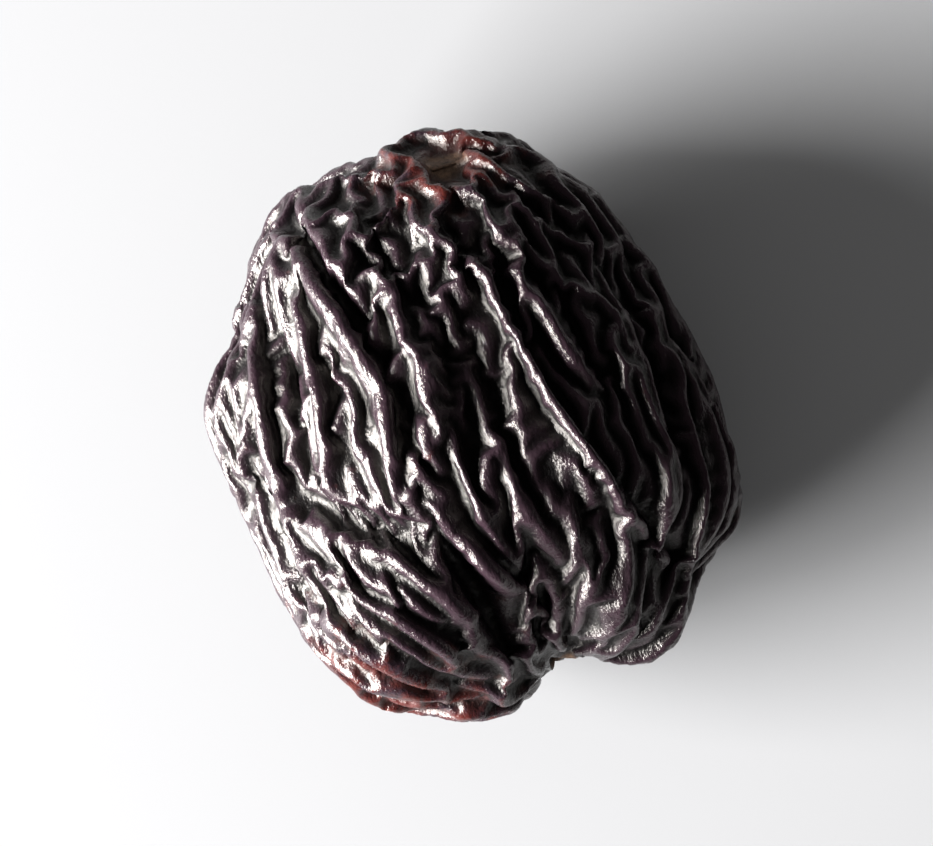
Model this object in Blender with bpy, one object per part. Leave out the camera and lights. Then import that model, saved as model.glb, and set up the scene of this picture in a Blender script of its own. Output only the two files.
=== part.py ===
"""A black raisin: one large dried dark grape, lying on its flatter side.

Metres, +Z up. The fruit's length runs along Y, with its stem end at +Y. It rests on z = 0, and the
origin is in the middle of its outline. The skin is one closed surface: a plump body that is broader
at some places than at others, the long folds into which the skin has shrunk, finer wrinkles between
them, and the round scar where the stem broke off.
"""

import math

import bmesh
import bpy
import numpy as np
from mathutils import Vector, noise

MM = 0.001

# The body, before its skin folded. Heights are taken from the level where it is widest.
HALF_LENGTH = 8.10 * MM
HALF_WIDTH = 6.75 * MM
CROWN = 5.35 * MM
BELLY = 4.75 * MM
REST_PRESS = 0.22 * MM  # how far the lowest place of the belly is pressed flat
REST_FADE = 0.35 * MM  # and the folds are low up to about this far above it
PLUMPNESS = 2.12  # 2 is an ellipsoid, and more is boxier

# Where the outline seen from above swells or draws in: degrees from the stem end, clockwise,
# the share of the radius, and the half-width in degrees.
OUTLINE_LOBES = (
    (16, 0.040, 15),
    (62, -0.035, 26),
    (119, 0.066, 15),
    (142, -0.055, 12),
    (159, 0.020, 9),
    (176, -0.165, 13),
    (-158, -0.030, 9),
    (-145, 0.015, 14),
    (-92, -0.015, 12),
    (-66, 0.055, 10),
    (-50, -0.040, 9),
    (-22, 0.045, 11),
)
UNEVENNESS = 0.45 * MM  # broad dents and swellings all over
UNEVENNESS_SPACING = 5.5 * MM

# The lobe at the lower left of the upper side, and the hollow beside it: the place (x, y), the
# height and the reach, in millimetres.
UPPER_SWELLINGS = (
    ((-3.7, -4.3), 0.42, 2.1),
    ((1.7, -4.7), -0.50, 1.8),
)

# The folds of the upper side, as they lie seen from above. Each runs through three places
# (x, y) in millimetres, and has a height and a half-width in millimetres.
UPPER_FOLDS = (
    ((-2.4, 7.0), (-2.1, 5.4), (-1.6, 3.0), 0.50, 0.44),
    ((-3.2, 6.2), (-2.5, 3.8), (-2.2, -1.0), 0.66, 0.42),
    ((-1.0, 3.6), (-0.7, 1.4), (-2.0, -1.6), 0.54, 0.42),
    ((1.6, 4.3), (2.35, 0.3), (4.2, -5.5), 0.52, 0.28),
    ((2.6, 3.8), (3.1, 2.0), (3.6, 0.3), 0.42, 0.36),
    ((-1.5, -2.4), (-0.5, -4.4), (0.6, -6.4), 0.56, 0.34),
    ((0.4, -0.5), (0.0, -1.7), (-0.3, -2.9), 0.30, 0.36),
    ((0.7, -1.5), (0.8, -3.1), (1.2, -4.7), 0.34, 0.38),
    ((-3.4, 4.9), (-3.8, 2.4), (-4.1, -0.1), 0.40, 0.38),
    ((-4.8, 5.0), (-5.4, 2.4), (-5.5, -0.6), 0.38, 0.42),
    ((-5.5, -0.9), (-3.8, -2.6), (-1.7, -5.3), 0.52, 0.42),
    ((-5.5, -2.4), (-4.0, -3.9), (-2.5, -6.1), 0.42, 0.38),
    ((-5.5, -3.9), (-4.6, -5.1), (-3.3, -6.4), 0.42, 0.38),
    ((3.9, 4.4), (4.5, 1.4), (4.7, -2.0), 0.26, 0.50),
    ((0.2, 7.0), (0.5, 5.9), (0.8, 4.8), 0.26, 0.40),
    ((2.2, 6.4), (3.2, 5.2), (3.6, 3.4), 0.26, 0.42),
)
# The creases between them, as places, depth and half-width.
UPPER_CREASES = (
    ((-2.9, 7.0), (-2.3, 5.0), (-1.6, 3.2), 0.42, 0.30),
    ((-5.4, -0.2), (-3.6, -1.6), (-1.8, -2.7), 0.36, 0.40),
    ((-1.9, -2.7), (-1.2, -4.7), (-0.8, -6.7), 0.54, 0.40),
    ((0.4, 4.4), (0.7, 1.0), (1.9, -4.4), 0.22, 0.90),
    ((-4.4, 5.2), (-4.6, 2.6), (-4.8, 0.4), 0.30, 0.34),
    ((5.2, 3.8), (5.7, 0.6), (5.0, -3.6), 0.34, 0.60),
)

# The folds of the sides and the underside: degrees round the length at the stem end, in the middle
# and at the other end, counted from the top past the right side; the shares of the half-length
# where the fold starts and ends; and the height and the half-width in millimetres.
LOWER_FOLDS = (
    (62, 74, 66, -0.85, 0.30, 0.40, 0.52),
    (84, 80, 92, -0.35, 0.86, 0.46, 0.50),
    (96, 104, 98, -0.90, 0.45, 0.48, 0.54),
    (112, 124, 120, -0.20, 0.90, 0.42, 0.50),
    (138, 128, 118, -0.88, 0.10, 0.40, 0.48),
    (144, 152, 140, -0.55, 0.80, 0.38, 0.52),
    (168, 160, 172, -0.92, -0.10, 0.38, 0.46),
    (172, 186, 180, 0.15, 0.90, 0.38, 0.50),
    (196, 190, 206, -0.90, 0.35, 0.40, 0.52),
    (208, 222, 214, -0.40, 0.88, 0.44, 0.50),
    (236, 228, 240, -0.90, 0.20, 0.42, 0.48),
    (244, 250, 238, -0.30, 0.90, 0.46, 0.50),
    (262, 254, 268, -0.85, 0.55, 0.44, 0.50),
    (268, 278, 272, 0.05, 0.88, 0.38, 0.46),
    (284, 290, 282, -0.80, 0.15, 0.36, 0.44),
)
FOLD_STEPS = 16

# The finer wrinkles between the folds. They run along the length and draw together at its ends.
WRINKLE_SPACING = 1.65 * MM
WRINKLE_HEIGHT = 0.34 * MM
WRINKLE_STRETCH = 2.7
WRINKLE_SHARPNESS = 0.19
WRINKLE_DRIFT = 0.8
WRINKLE_RADIUS = 5.5 * MM  # the distance from the length's axis where they are as far apart as stated
SMOOTH_CREASE = 0.5 * MM  # a crease this deep has none of them

# The stem scar, a shallow pit with a raised rim, just above the middle of the stem end.
SCAR_TOWARDS = Vector((0.20, 0.93, 0.34)).normalized()
SCAR_RADIUS = 0.95 * MM
SCAR_DEPTH = 0.34 * MM
SCAR_RIM = 0.14 * MM

FINE_DIVISIONS = 7  # of the sphere that the skin is shaped from
FACES = 10_400  # that it is then reduced to, with the small faces along the folds
LEVEL_WITHIN = 0.02 * MM  # places this near the level of the flat spot are put on it


def outline_swell(point):
    """How much wider the outline is than a plain oval towards the point, as a share."""
    azimuth = math.degrees(math.atan2(point.x, point.y))
    swell = 0.0
    for centre, share, half_width in OUTLINE_LOBES:
        away = (azimuth - centre + 180) % 360 - 180
        swell += share * math.exp(-((away / half_width) ** 2))
    return swell


def body_point(direction):
    """The plump body's surface in one direction from its middle."""
    height = CROWN if direction.z > 0 else BELLY
    sizes = (HALF_WIDTH, HALF_LENGTH, height)
    reach = sum(abs(d / size) ** PLUMPNESS for d, size in zip(direction, sizes)) ** (-1 / PLUMPNESS)
    level = direction.x**2 + direction.y**2
    return direction * reach * (1 + level * outline_swell(direction))


def on_crown(x, y):
    """The body's surface above a place seen from above."""
    left = 1 - abs(x / HALF_WIDTH) ** PLUMPNESS - abs(y / HALF_LENGTH) ** PLUMPNESS
    return Vector((x, y, CROWN * max(left, 0.0) ** (1 / PLUMPNESS)))


def round_body(around, along):
    """The body's surface at an angle round its length, from the top, and at a share of that length."""
    turn = math.radians(around)
    across = math.sqrt(1 - along**2)
    return body_point(Vector((math.sin(turn) * across, along, math.cos(turn) * across)).normalized())


def through(first, middle, last, share):
    """The value at a share of the way along a smooth line through three values."""
    before = first * (1 - share) * (1 - 2 * share)
    return before + middle * 4 * share * (1 - share) + last * share * (2 * share - 1)


def upper_lines(folds):
    """Each fold or crease of the upper side, as points along it, its height and its half-width."""
    for first, middle, last, height, half_width in folds:
        places = [Vector(place) * MM for place in (first, middle, last)]
        flat = [through(*places, step / FOLD_STEPS) for step in range(FOLD_STEPS + 1)]
        yield [on_crown(*place) for place in flat], height * MM, half_width * MM


def lower_lines(folds):
    """The same for the folds of the sides and the underside."""
    for stem, middle, tail, start, end, height, half_width in folds:
        line = []
        for step in range(FOLD_STEPS + 1):
            share = step / FOLD_STEPS
            line.append(round_body(through(tail, middle, stem, share), start + (end - start) * share))
        yield line, height * MM, half_width * MM


def crest(points, line, height, half_width):
    """The height that one fold adds at each point: round across it, and fading at its ends."""
    raised = np.zeros(len(points))
    for step, (start, end) in enumerate(zip(line, line[1:])):
        start, way = np.array(start), np.array(end - start)
        share = np.clip((points - start) @ way / (way @ way), 0, 1)
        away = np.linalg.norm(points - start - share[:, None] * way, axis=1)
        along = (step + share) / FOLD_STEPS
        fade = np.sin(math.pi * np.clip(along, 0.02, 0.98)) ** 0.45
        raised = np.maximum(raised, height * fade * np.exp(-((away / half_width) ** 2)))
    return raised


def wrinkle(point):
    """The height of the finer wrinkles: a round crest wherever a stretched noise crosses zero."""
    axis = SCAR_TOWARDS * (point.y / SCAR_TOWARDS.y) if point.y > 0 else Vector((0, point.y, 0))
    across = point - axis
    from_axis = max(across.length, 0.3 * MM)
    spread = (WRINKLE_RADIUS / from_axis) ** 0.5
    place = Vector((across.x * spread, point.y / WRINKLE_STRETCH, across.z * spread)) / WRINKLE_SPACING
    place += noise.noise_vector(place * 0.45) * WRINKLE_DRIFT
    height = WRINKLE_HEIGHT * min(1.0, from_axis / (2 * MM))
    return height * math.exp(-((noise.noise(place) / WRINKLE_SHARPNESS) ** 2))


def swelling(point):
    """How far the upper side stands out in its lobe, or sinks in its hollow, at a point."""
    total = 0.0
    for place, height, reach in UPPER_SWELLINGS:
        away = (point.xy - Vector(place) * MM).length / (reach * MM)
        total += height * MM * math.exp(-(away**2))
    return total * min(1.0, max(0.0, point.z / (CROWN / 2)))


def fold_skin(skin):
    """Moves the smooth body's skin out along its folds and in along its creases."""
    points = np.array([vert.co for vert in skin.verts])
    folds = [*upper_lines(UPPER_FOLDS), *lower_lines(LOWER_FOLDS)]
    raised = np.max([crest(points, *fold) for fold in folds], axis=0)
    sunk = np.max([crest(points, *crease) for crease in upper_lines(UPPER_CREASES)], axis=0)
    scar = body_point(SCAR_TOWARDS)
    moves = []
    for vert, out, back in zip(skin.verts, raised, sunk):
        away = (vert.co - scar).length / SCAR_RADIUS
        pit = SCAR_RIM * math.exp(-(((away - 1) / 0.35) ** 2)) - SCAR_DEPTH * math.exp(-((away / 0.62) ** 4))
        broad = UNEVENNESS * noise.noise(vert.co / UNEVENNESS_SPACING) + swelling(vert.co)
        lying = math.exp(-((max(0.0, vert.co.z + BELLY) / REST_FADE) ** 2))
        fine = wrinkle(vert.co) * max(0.0, 1 - back / SMOOTH_CREASE)
        relief = (max(out, fine) - back) * (1 - math.exp(-((away / 1.5) ** 4))) * (1 - 0.85 * lying)
        moves.append(vert.normal * (broad + relief + pit))
    for vert, move in zip(skin.verts, moves):
        vert.co += move


def press_flat(skin):
    """Levels the lowest places of the belly, and sets the raisin down on the origin."""
    places = np.array([vert.co for vert in skin.verts])
    middle = (places.min(axis=0) + places.max(axis=0)) / 2
    level = places[:, 2].min() + REST_PRESS
    bmesh.ops.translate(skin, verts=skin.verts, vec=(-middle[0], -middle[1], -level))
    for vert in skin.verts:
        vert.co.z = max(0.0, vert.co.z)


def reduced(skin):
    """The skin with fewer faces, the small ones kept where it is most folded."""
    mesh = bpy.data.meshes.new("fine_skin")
    skin.to_mesh(mesh)
    fine = bpy.data.objects.new("fine_skin", mesh)
    bpy.context.scene.collection.objects.link(fine)
    decimate = fine.modifiers.new("fewer_faces", "DECIMATE")
    decimate.ratio = FACES / len(skin.faces)
    result = bmesh.new()
    result.from_object(fine, bpy.context.evaluated_depsgraph_get())
    bpy.data.objects.remove(fine)
    bpy.data.meshes.remove(mesh)
    for vert in result.verts:
        if vert.co.z < LEVEL_WITHIN:
            vert.co.z = 0.0
    return result


def skin_material():
    """Almost black, with a little brown and purple, and as glossy as waxed leather."""
    material = bpy.data.materials.new("raisin_skin")
    material.use_nodes = True
    shader = material.node_tree.nodes["Principled BSDF"]
    shader.inputs["Base Color"].default_value = (0.020, 0.010, 0.012, 1)
    shader.inputs["Roughness"].default_value = 0.38
    shader.inputs["Metallic"].default_value = 0.0
    return material


def make_raisin(collection):
    """The whole fruit, as one solid."""
    fine = bmesh.new()
    bmesh.ops.create_icosphere(fine, subdivisions=FINE_DIVISIONS, radius=1.0)
    for vert in fine.verts:
        vert.co = body_point(vert.co.normalized())
    fine.normal_update()
    fold_skin(fine)
    press_flat(fine)
    skin = reduced(fine)
    mesh = bpy.data.meshes.new("raisin")
    skin.to_mesh(mesh)
    fine.free()
    skin.free()
    mesh.materials.append(skin_material())
    mesh.shade_smooth()
    collection.objects.link(bpy.data.objects.new("raisin", mesh))


def main():
    for left_over in list(bpy.data.objects):
        bpy.data.objects.remove(left_over)
    collection = bpy.data.collections.new("black_raisin")
    bpy.context.scene.collection.children.link(collection)
    make_raisin(collection)


main()
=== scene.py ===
"""A black raisin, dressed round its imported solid. Metres, +Z up, the stem end at +Y."""

import math

import bmesh
import bpy
import numpy as np
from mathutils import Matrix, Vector, noise


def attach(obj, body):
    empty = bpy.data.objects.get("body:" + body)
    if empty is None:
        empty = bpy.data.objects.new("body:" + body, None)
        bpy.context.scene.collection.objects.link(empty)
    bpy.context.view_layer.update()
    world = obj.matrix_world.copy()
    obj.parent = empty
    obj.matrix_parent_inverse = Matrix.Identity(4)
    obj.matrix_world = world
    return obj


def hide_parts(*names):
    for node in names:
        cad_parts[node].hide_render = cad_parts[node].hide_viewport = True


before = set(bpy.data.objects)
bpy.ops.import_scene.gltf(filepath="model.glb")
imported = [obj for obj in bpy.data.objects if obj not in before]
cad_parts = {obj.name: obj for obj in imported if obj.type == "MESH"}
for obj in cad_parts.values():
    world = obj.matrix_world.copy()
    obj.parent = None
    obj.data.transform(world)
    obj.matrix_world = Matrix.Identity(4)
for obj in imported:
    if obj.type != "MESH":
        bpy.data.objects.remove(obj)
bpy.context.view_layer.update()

# The skin: thin, dark and waxy, in one closed piece that is grown fast to the dried flesh under it. It
# keeps its area while the flesh shrinks, so it buckles into long folds, which the solid has, and finer
# wrinkles. Those are made as the real ones are: the skin grows, held down on the flesh.
MM = 0.001
SAME_PLACE = 0.001 * MM
SKIN_CELL = 0.1  # millimetres, like all lengths while the skin is being shaped
FACET_SOFTENING = 0.5
FACET_SOFTENING_ROUNDS = 8

raisin_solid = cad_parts["raisin"]
shape = bmesh.new()
shape.from_mesh(raisin_solid.data)
bmesh.ops.remove_doubles(shape, verts=shape.verts, dist=SAME_PLACE)
bmesh.ops.scale(shape, verts=shape.verts, vec=(1 / MM, 1 / MM, 1 / MM))
shaped = bpy.data.meshes.new("raisin_skin")
shape.to_mesh(shaped)
shape.free()
skin = bpy.data.objects.new("raisin_skin", shaped)
bpy.context.scene.collection.objects.link(skin)
even_cells = skin.modifiers.new("even_cells", "REMESH")
even_cells.mode = "VOXEL"
even_cells.voxel_size = SKIN_CELL
soften = skin.modifiers.new("soften", "SMOOTH")
soften.factor = FACET_SOFTENING
soften.iterations = FACET_SOFTENING_ROUNDS
skin_with_cells = skin.evaluated_get(bpy.context.evaluated_depsgraph_get())
even = bpy.data.meshes.new_from_object(skin_with_cells)
skin.modifiers.clear()
skin.data = even

places = np.empty(len(even.vertices) * 3)
even.vertices.foreach_get("co", places)
places = places.reshape(-1, 3)
normals = np.empty(len(even.vertices) * 3)
even.vertices.foreach_get("normal", normals)
normals = normals.reshape(-1, 3)
sides = np.empty(len(even.edges) * 2, np.int32)
even.edges.foreach_get("vertices", sides)
sides = sides.reshape(-1, 2)
corners = np.empty(len(even.loops), np.int32)
even.loops.foreach_get("vertex_index", corners)
corners = corners.reshape(-1, 4)
COUNT = len(places)
neighbours = np.bincount(sides.ravel(), minlength=COUNT)


def gathered(values, pairs, onto, sign):
    """Adds each pair's row of values to the total of the place it belongs to."""
    for axis in range(3):
        onto[:, axis] += np.bincount(pairs[:, 0], values[:, axis], COUNT)
        onto[:, axis] += sign * np.bincount(pairs[:, 1], values[:, axis], COUNT)
    return onto


def bending(values):
    """How far each place's value is from the mean of its neighbours' values."""
    difference = values[sides[:, 1]] - values[sides[:, 0]]
    return gathered(difference, sides, np.zeros((COUNT, 3)), -1) / neighbours[:, None]


# How much more skin each of the longest folds takes up, and the line of its crest, seen from above in
# millimetres. They fan out below the stem end and draw together again at the other end.
FOLDS = (
    (0.55, (-2.5, 7.4), (-2.3, 5.7), (-2.0, 4.4), (-1.7, 3.1)),
    (0.75, (-3.4, 6.7), (-3.0, 5.4), (-2.6, 4.1), (-2.3, 2.8), (-2.0, 1.6), (-2.2, 0.3), (-2.4, -1.2)),
    (0.55, (-1.0, 3.6), (-0.7, 1.9), (-0.9, 0.6), (-1.4, -0.5), (-2.1, -1.5)),
    (0.60, (1.6, 4.2), (1.9, 2.9), (2.2, 1.6), (2.4, 0.0), (3.0, -1.8), (3.5, -3.5), (4.2, -5.5)),
    (0.50, (2.6, 3.7), (3.0, 2.3), (3.4, 0.8)),
    (0.60, (-1.5, -2.4), (-0.8, -3.8), (-0.1, -5.0), (0.6, -6.7)),
    (0.45, (0.5, -0.8), (0.0, -1.7), (-0.4, -2.6)),
    (0.45, (0.7, -1.9), (0.7, -3.1)),
    (0.50, (-3.4, 4.6), (-3.6, 3.0), (-3.8, 1.5), (-4.1, 0.2)),
    (0.40, (-2.9, 2.9), (-2.8, 1.5), (-3.1, 0.1)),
    (0.40, (-4.9, 5.0), (-5.3, 2.9), (-5.6, 0.9), (-5.6, -0.5)),
    (0.75, (-5.5, -0.9), (-4.5, -2.0), (-3.3, -3.0), (-2.4, -4.2), (-1.7, -5.3)),
    (0.68, (-5.5, -2.3), (-4.3, -3.5), (-3.2, -4.9), (-2.5, -6.1)),
    (0.60, (-5.6, -3.9), (-4.6, -5.3), (-3.4, -6.5)),
)
# How firmly the skin of each of the deepest creases stays stuck down, and the line of its bottom.
CREASES = (
    (0.8, (-2.9, 6.9), (-2.5, 5.3), (-1.9, 3.8)),
    (0.5, (-5.2, -0.4), (-3.6, -1.6), (-1.8, -2.7)),
    (1.0, (-1.8, -2.7), (-1.2, -4.7), (-0.8, -6.6)),
)
# Under this long fold and in the hollow beside it the flesh lies flatter than the solid does.
FLAT_LINE = ((1.6, 4.2), (1.9, 2.9), (2.2, 1.6), (2.4, 0.0), (3.0, -1.8), (3.5, -3.5), (4.2, -5.5))
FLAT_LINE_WIDTH = 0.55
FLAT_LINE_DEPTH = 0.21
HOLLOW_PLACE = (2.0, -4.6, 8.5)
HOLLOW_REACH = 1.9
HOLLOW_FILL = 0.34
FOLD_WIDTH = 0.23
FOLD_START = 0.36  # how high a fold of the full strength stands before the skin is let go
CREASE_WIDTH = 0.30
CREASE_START = 0.35
UPPER_SIDE = 3.5  # the lines hold for the skin above this height


def near_line(line, width):
    """How near each place of the upper side is to a line seen from above: 1 on it, fading to 0."""
    away = np.full(COUNT, np.inf)
    for first, last in zip(line, line[1:]):
        first, way = np.array(first), np.subtract(last, first)
        part = np.clip((places[:, :2] - first) @ way / (way @ way), 0, 1)
        away = np.minimum(away, np.linalg.norm(places[:, :2] - first - part[:, None] * way, axis=1))
    return np.where(places[:, 2] > UPPER_SIDE, np.exp(-(away / width) ** 2), 0)


# Which way the finer wrinkles run: along the fruit and together at its ends, and at these places,
# within their reach, more as the third value says. They slant on the lobe at the lower left.
HALF_SIZES = (7.1, 8.4, 5.3)
ALONG_FRUIT = (0.0, 1.0, 0.0)
FLOWS = (
    ((-3.9, -3.6, 7.5), 2.8, (-0.65, 0.76, 0.0)),
    ((2.9, -1.5, 9.5), 2.6, (-0.30, 0.95, 0.0)),
    ((-2.9, 5.0, 8.5), 2.2, (-0.25, 0.97, 0.0)),
)
# How much the skin grows, as a share of its size: across the fruit, along it, and more or less across
# it at some places. The skin below the stem end also grows along the fruit, and so turns curly. The
# scar, where the stem broke off, keeps its form.
SKIN_GROWTH = 0.19
GROWTH_ALONG = 0.055
PATCHINESS = 0.45
PATCH_SIZE = 3.1
GROWTH_PLACES = (
    ((-4.0, 0.5, 8.0), 3.2, 0.06),
    ((-3.9, -3.6, 7.5), 2.8, 0.08),
    ((0.9, 1.4, 10.2), 2.3, -0.17),
    ((1.8, -4.0, 8.8), 2.3, -0.15),
    ((-0.2, -1.6, 9.9), 1.7, -0.11),
    ((0.0, -8.0, 4.5), 3.0, 0.06),
)
SCAR_PLACE = (1.7, 7.4, 6.7)
SCAR_REACH = 0.75
CURLY_PLACE = (0.3, 5.6, 8.4)
CURLY_REACH = 3.0
CURLY_GROWTH = 0.10
STUCK_SHARE = 0.8
DIAGONAL_PULL = 0.5
TINY = 1e-6


def near_place(place, reach, sharpness=2):
    """How near each place of the skin is to another one: 1 at it, fading to 0 past its reach."""
    return np.exp(-(np.linalg.norm(places - place, axis=1) / reach) ** sharpness)


run = np.tile(ALONG_FRUIT, (COUNT, 1))
for centre, reach, way in FLOWS:
    run += near_place(centre, reach)[:, None] * (np.array(way) - ALONG_FRUIT)
plump = (places - (0, 0, HALF_SIZES[2])) / np.square(HALF_SIZES)
plump /= np.linalg.norm(plump, axis=1)[:, None]
run -= plump * np.einsum("ij,ij->i", run, plump)[:, None]
across = np.cross(normals, run)
across /= np.maximum(np.linalg.norm(across, axis=1), TINY)[:, None]

growth = np.full(COUNT, SKIN_GROWTH)
for centre, reach, more in GROWTH_PLACES:
    growth += more * near_place(centre, reach)
growth *= 1 + PATCHINESS * np.array([noise.noise(Vector(place) / PATCH_SIZE) for place in places])
lifted = np.zeros(COUNT)
for strength, *line in FOLDS:
    lifted = np.maximum(lifted, strength * near_line(line, FOLD_WIDTH))
stuck = np.zeros(COUNT)
for strength, *line in CREASES:
    stuck = np.maximum(stuck, strength * near_line(line, CREASE_WIDTH))
stuck = np.maximum(stuck, near_place(SCAR_PLACE, SCAR_REACH, sharpness=4))
growth = (growth + lifted) * (1 - STUCK_SHARE * np.minimum(stuck, 1))

springs = np.vstack((sides, corners[:, (0, 2)], corners[:, (1, 3)]))
pull = np.ones(len(springs))
pull[len(sides):] = DIAGONAL_PULL
span = places[springs[:, 1]] - places[springs[:, 0]]
length = np.linalg.norm(span, axis=1)
spring_across = across[springs[:, 0]] + across[springs[:, 1]]
spring_across /= np.maximum(np.linalg.norm(spring_across, axis=1), TINY)[:, None]
share = (np.einsum("ij,ij->i", span, spring_across) / length) ** 2
along = GROWTH_ALONG + CURLY_GROWTH * near_place(CURLY_PLACE, CURLY_REACH)
full_length = length * (1 + (
    (growth[springs[:, 0]] + growth[springs[:, 1]]) / 2 * share
    + (along[springs[:, 0]] + along[springs[:, 1]]) / 2
))

# The skin is let go, and it settles where its stretch, its stiffness and the flesh under it balance.
BEND = 0.24
HELD_IN = 0.0080
HELD_OUT = 0.0034
HELD_STUCK = 0.03
HELD_ALONG = 0.002
STEP = 0.09
CARRY = 0.9
STEPS = 420
FIRST_WAVE = 0.03
FIRST_WAVES_PER_MM = (2.2, 0.8, 2.2)

flatter = -FLAT_LINE_DEPTH * near_line(FLAT_LINE, FLAT_LINE_WIDTH)
flatter += HOLLOW_FILL * near_place(HOLLOW_PLACE, HOLLOW_REACH)
flesh = places + normals * (FOLD_START * lifted - CREASE_START * stuck + flatter)[:, None]
settled = flesh.copy()
waves = np.array([noise.noise(Vector(place)) for place in places * FIRST_WAVES_PER_MM])
settled += normals * (FIRST_WAVE * waves)[:, None]
speed = np.zeros((COUNT, 3))
for step in range(STEPS):
    span = settled[springs[:, 1]] - settled[springs[:, 0]]
    length = np.sqrt(np.einsum("ij,ij->i", span, span))
    tug = span * (pull * (1 - full_length / length))[:, None]
    force = gathered(tug, springs, np.zeros((COUNT, 3)), -1)
    moved = settled - flesh
    force -= BEND * bending(bending(moved))
    out = np.einsum("ij,ij->i", moved, normals)
    hold = np.where(out > 0, HELD_OUT, HELD_IN) + HELD_STUCK * stuck
    force -= normals * ((hold - HELD_ALONG) * out)[:, None]
    force -= HELD_ALONG * moved
    speed = CARRY * speed + STEP * force
    settled += speed
    np.maximum(settled[:, 2], 0.0, out=settled[:, 2])

# How high each place stands over the skin around it: 0 deep in a crease and 1 on a sharp crest.
AROUND_ROUNDS = 12
HEIGHT_SPAN = 0.24
around = settled.copy()
for step in range(AROUND_ROUNDS):
    around += bending(around)
height = np.einsum("ij,ij->i", settled - around, normals)
height = np.clip(0.5 + height / HEIGHT_SPAN, 0, 1)
even.attributes.new("height", "FLOAT", "POINT").data.foreach_set("value", height)
even.vertices.foreach_set("co", (settled * MM).ravel())
even.update()
even.shade_smooth()


class Socket:
    """A shader socket that is used in sums: each operator adds the node that works it out."""

    def __init__(self, tree, socket):
        self.tree = tree
        self.socket = socket

    def node(self, kind, settings=None, output=0, **inputs):
        """A new node of that type, its settings, and the values or links of its sockets."""
        made = self.tree.nodes.new(kind)
        for name, value in (settings or {}).items():
            setattr(made, name, value)
        for name, value in inputs.items():
            key = int(name[1:]) if name[1:].isdigit() else name.replace("_", " ")
            target = made.inputs[key]
            if isinstance(value, Socket):
                self.tree.links.new(value.socket, target)
            else:
                target.default_value = value
        return Socket(self.tree, made.outputs[output])

    def maths(self, operation, first, second):
        return self.node("ShaderNodeMath", {"operation": operation}, _0=first, _1=second)

    def __add__(self, other):
        return self.maths("ADD", self, other)

    def __radd__(self, other):
        return self.maths("ADD", other, self)

    def __sub__(self, other):
        return self.maths("SUBTRACT", self, other)

    def __rsub__(self, other):
        return self.maths("SUBTRACT", other, self)

    def __mul__(self, other):
        return self.maths("MULTIPLY", self, other)

    def __rmul__(self, other):
        return self.maths("MULTIPLY", other, self)

    def __truediv__(self, other):
        return self.maths("DIVIDE", self, other)

    def ramp(self, low, high):
        """0 below low, 1 above high, and even between them."""
        settings = {"clamp": True}
        return self.node("ShaderNodeMapRange", settings, Value=self, From_Min=low, From_Max=high)

    def mixed(self, first, second):
        """The first colour where this is 0 and the second where it is 1."""
        settings = {"data_type": "RGBA"}
        return self.node("ShaderNodeMix", settings, output=2, _0=self, _6=first, _7=second)


# The skin's look: a dark purple brown on the crests, with painted shade that turns it near black down in
# the creases, red brown at the stem end and on the lobe's rim, dry and pale in the scar and at the small
# dot opposite it. It is glossier on the crests than in the creases, and finely rough all over.
GLINT_TINT = (1.0, 0.94, 0.88, 1)
# The near black of the painted shade deep in the creases.
CREASE_SHADE = (0.0013, 0.0009, 0.0013, 1)
CREST = (0.015, 0.0085, 0.0115, 1)
RED = (0.038, 0.0072, 0.0056, 1)
DRY_DARK = (0.030, 0.016, 0.011, 1)
DRY_PALE = (0.17, 0.10, 0.060, 1)
STEM_RED_PLACE = (1.8, 7.3, 6.9)
STEM_RED_REACH = 3.6
LOBE_RED_PLACE = (-4.3, -6.3, 5.7)
LOBE_RED_REACH = 5.2
SCAR_DRY_REACH = 1.1
TAIL_PLACE = (0.6, -7.45, 4.6)
TAIL_DRY_REACH = 0.8
GRAIN_DEPTH = 0.08
FINER_GRAIN_DEPTH = 0.02

finish = bpy.data.materials.new("raisin_skin")
finish.use_nodes = True
tree = finish.node_tree
shader = tree.nodes["Principled BSDF"]
shader.inputs["Specular Tint"].default_value = GLINT_TINT
finish_nodes = Socket(tree, None)
height_seen = finish_nodes.node("ShaderNodeAttribute", {"attribute_name": "height"}, output=2)
where = finish_nodes.node("ShaderNodeTexCoord", output=3)


def speckle(per_millimetre, detail=2.0, roughness=0.5, stretch=1.0):
    """A soft noise with about that many spots in a millimetre, longer along the fruit if stretched."""
    scale = (1 / MM, 1 / MM / stretch, 1 / MM)
    in_millimetres = finish_nodes.node("ShaderNodeMapping", Vector=where, Scale=scale)
    return finish_nodes.node(
        "ShaderNodeTexNoise",
        Vector=in_millimetres,
        Scale=per_millimetre,
        Detail=detail,
        Roughness=roughness,
    )


def towards(place, reach):
    """1 at a place in millimetres, fading to 0 at its reach."""
    centre = tuple(value * MM for value in place)
    settings = {"operation": "DISTANCE"}
    gap = finish_nodes.node("ShaderNodeVectorMath", settings, output=1, _0=where, _1=centre)
    return 1 - (gap / (reach * MM)).ramp(0.0, 1.0)


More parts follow.
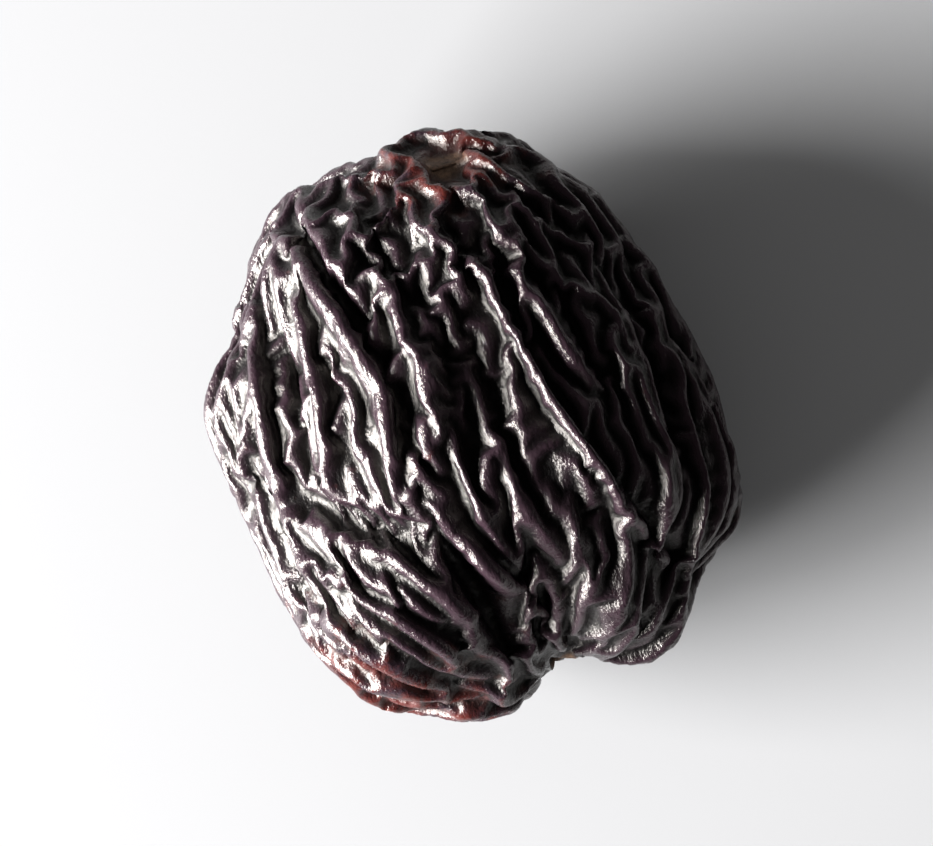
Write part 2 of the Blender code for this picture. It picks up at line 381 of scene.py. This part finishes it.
red_stem = towards(STEM_RED_PLACE, STEM_RED_REACH)
red_lobe = towards(LOBE_RED_PLACE, LOBE_RED_REACH)
red_ends = finish_nodes.maths("MAXIMUM", red_stem, red_lobe)
blotches = speckle(1.1, detail=5.0, roughness=0.7)
# Painted shade: the red and the skin's own tone both darken toward near black down in the creases, by
# the height seen.
red = ((red_ends * 1.1 + (blotches - 0.5) * 2.6 - 0.40) * 2.2).ramp(0.0, 1.0) * (0.3 + 0.7 * height_seen)
shaded_tone = height_seen.ramp(0.3, 0.8).mixed(CREASE_SHADE, CREST)
tinted = red.mixed(shaded_tone, RED)
ragged = speckle(2.6, detail=3.0)
dry_scar = (towards(SCAR_PLACE, SCAR_DRY_REACH) * 2.2 + ragged - 1.25).ramp(0.0, 0.5)
dry_tail = (towards(TAIL_PLACE, TAIL_DRY_REACH) * 2.2 + ragged - 1.35).ramp(0.0, 0.5)
dry = finish_nodes.maths("MAXIMUM", dry_scar, dry_tail)
fibres = speckle(5.0, detail=3.0, roughness=0.7).ramp(0.3, 0.7).mixed(DRY_DARK, DRY_PALE)
tree.links.new(dry.mixed(tinted, fibres).socket, shader.inputs["Base Color"])
gloss = 0.45 - 0.28 * height_seen + (speckle(1.6) - 0.5) * 0.24 + dry * 0.4
tree.links.new(gloss.socket, shader.inputs["Roughness"])
grain = speckle(3.6, detail=4.0, roughness=0.65, stretch=2.2)
bump = finish_nodes.node("ShaderNodeBump", Strength=1.0, Distance=GRAIN_DEPTH * MM, Height=grain)
finer = speckle(9.0, detail=3.0, roughness=0.6)
bump = finish_nodes.node(
    "ShaderNodeBump", Strength=1.0, Distance=FINER_GRAIN_DEPTH * MM, Height=finer, Normal=bump
)
tree.links.new(bump.socket, shader.inputs["Normal"])
even.materials.clear()
even.materials.append(finish)

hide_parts("raisin")
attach(skin, "root")

# The ground: a plain, pale and smooth sheet that the raisin lies on. It isn't part of the raisin, and
# is wide enough to fill the picture from every side.
GROUND_SIDE = 1.2
GROUND_COLOUR = (0.168, 0.168, 0.17, 1)
GROUND_ROUGHNESS = 0.6
sheet = bmesh.new()
bmesh.ops.create_grid(sheet, x_segments=1, y_segments=1, size=GROUND_SIDE / 2)
ground_mesh = bpy.data.meshes.new("ground")
sheet.to_mesh(ground_mesh)
sheet.free()
ground = bpy.data.objects.new("ground", ground_mesh)
bpy.context.scene.collection.objects.link(ground)
pale = bpy.data.materials.new("ground_pale")
pale.use_nodes = True
pale_shader = pale.node_tree.nodes["Principled BSDF"]
pale_shader.inputs["Base Color"].default_value = GROUND_COLOUR
pale_shader.inputs["Roughness"].default_value = GROUND_ROUGHNESS
ground_mesh.materials.append(pale)

# The camera looks straight down. It is turned until the raisin lies as it does in the photo, and its
# lens shows a field of SHOWN_HEIGHT at the middle height of the raisin.
VIEW_TURN = -18
CAMERA_HEIGHT = 0.22
MIDDLE_HEIGHT = 5 * MM
SHOWN_HEIGHT = 24.5 * MM
PICTURE_WIDTH = 933
PICTURE_HEIGHT = 846
SENSOR_WIDTH = 36
camera_data = bpy.data.cameras.new("camera")
camera_data.sensor_fit = "HORIZONTAL"
camera_data.sensor_width = SENSOR_WIDTH
shown_width = SHOWN_HEIGHT * PICTURE_WIDTH / PICTURE_HEIGHT
camera_data.lens = SENSOR_WIDTH * (CAMERA_HEIGHT - MIDDLE_HEIGHT) / shown_width
camera_data.clip_start = 0.01
camera_data.clip_end = 10
camera = bpy.data.objects.new("camera", camera_data)
bpy.context.scene.collection.objects.link(camera)
camera.location = (0, 0, CAMERA_HEIGHT)
camera.rotation_euler = (0, 0, math.radians(VIEW_TURN))
bpy.context.scene.camera = camera

# The light: two soft lights low on the left, which glint on the crests and leave the right side dark,
# and a plain room, which fills in the shade and has no reflection of its own in the skin.
RAISIN_MIDDLE = Vector((0, 0, MIDDLE_HEIGHT))
ROOM_LIGHT = 0.45


def soft_light(name, place, size, power):
    """A square light that faces the raisin."""
    data = bpy.data.lights.new(name, "AREA")
    data.size = size
    data.energy = power
    light = bpy.data.objects.new(name, data)
    light.location = place
    light.rotation_euler = (RAISIN_MIDDLE - Vector(place)).to_track_quat("-Z", "Y").to_euler()
    bpy.context.scene.collection.objects.link(light)


soft_light("key", (-0.31, 0.03, 0.115), 0.19, 12.2)
soft_light("front", (-0.30, -0.115, 0.135), 0.09, 3.2)
bpy.context.scene.view_settings.view_transform = "Standard"
world = bpy.data.worlds.new("room")
bpy.context.scene.world = world
world.use_nodes = True
room = world.node_tree.nodes["Background"]
room.inputs["Color"].default_value = (1, 1, 1, 1)
room.inputs["Strength"].default_value = ROOM_LIGHT
world.cycles_visibility.glossy = False
